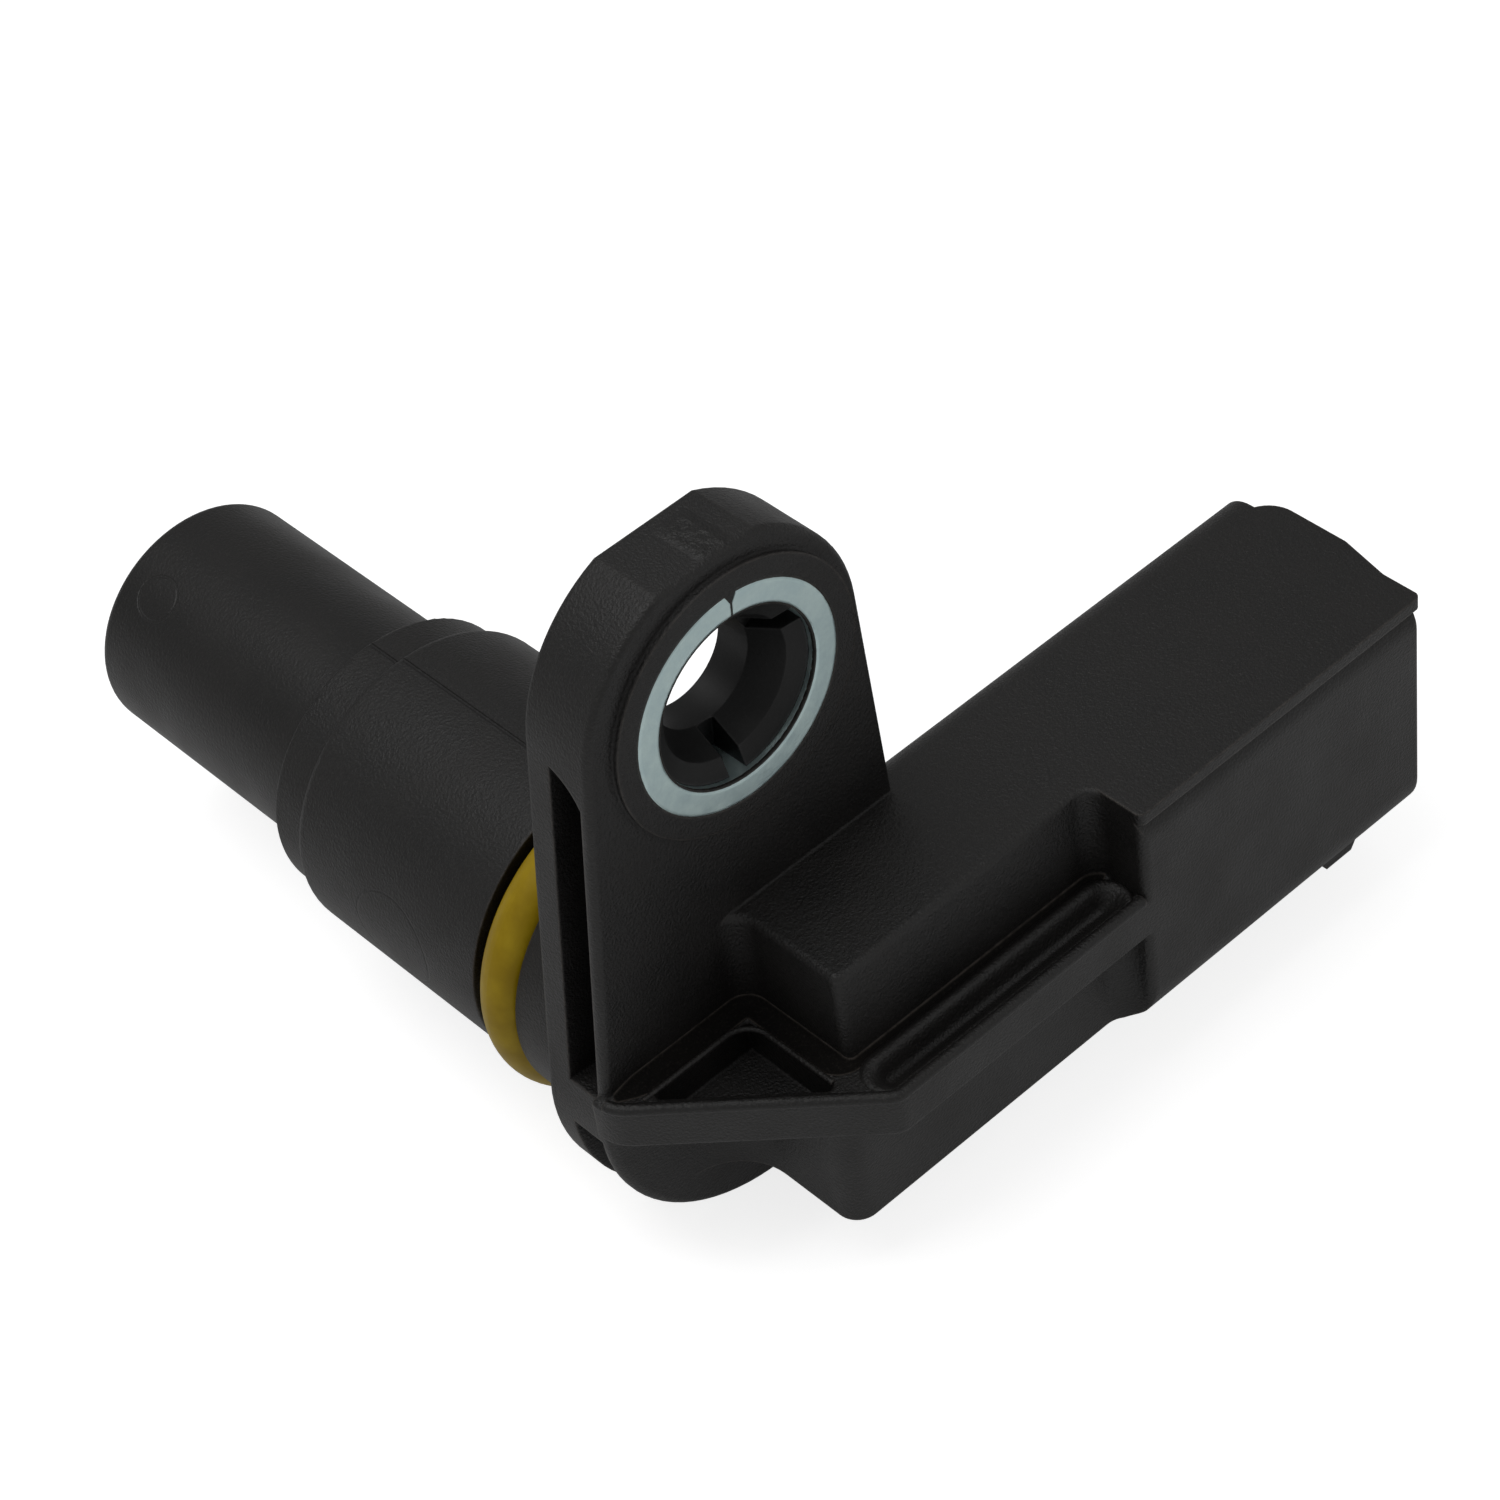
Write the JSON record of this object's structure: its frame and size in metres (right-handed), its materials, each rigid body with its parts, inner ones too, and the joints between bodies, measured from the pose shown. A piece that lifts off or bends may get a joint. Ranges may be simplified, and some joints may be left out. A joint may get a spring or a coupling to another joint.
{
  "type": "camshaft position sensor",
  "caption": "Plug-in speed sensor: a probe with a rubber seal ring, a bolt ear with a steel sleeve, and a socket for the plug at right angles to the probe.",
  "frame": {"origin": "where the probe's axis meets the seat face that lies on the engine", "axes": "+X towards the socket's mouth, +Y along the probe to its tip, +Z from the probe to the bolt ear"},
  "size_m": [0.05, 0.0583, 0.0419],
  "materials": {
    "housing_plastic": "fine satin grain",
    "tip_plastic": "smooth satin",
    "sleeve_steel": "zinc plated, satin",
    "collar_plastic": "satin",
    "seal_rubber": "smooth",
    "spool_plastic": "satin",
    "copper_wire": "enamelled",
    "tape_film": "smooth film",
    "pole_iron": "machined",
    "magnet_alloy": "ground",
    "contact_metal": "tin plated"
  },
  "bodies": {
    "root": {"housing": "housing_plastic", "tip_sleeve": "tip_plastic", "ear_sleeve": "sleeve_steel", "bolt_collar": "collar_plastic", "seal_ring": "seal_rubber", "spool": "spool_plastic", "winding": "copper_wire", "winding_tape": "tape_film", "pole_piece": "pole_iron", "magnet": "magnet_alloy", "back_plate": "pole_iron", "coil_pin_upper": "contact_metal", "coil_pin_lower": "contact_metal", "terminal_upper": "contact_metal", "terminal_lower": "contact_metal"}
  },
  "joints": []
}
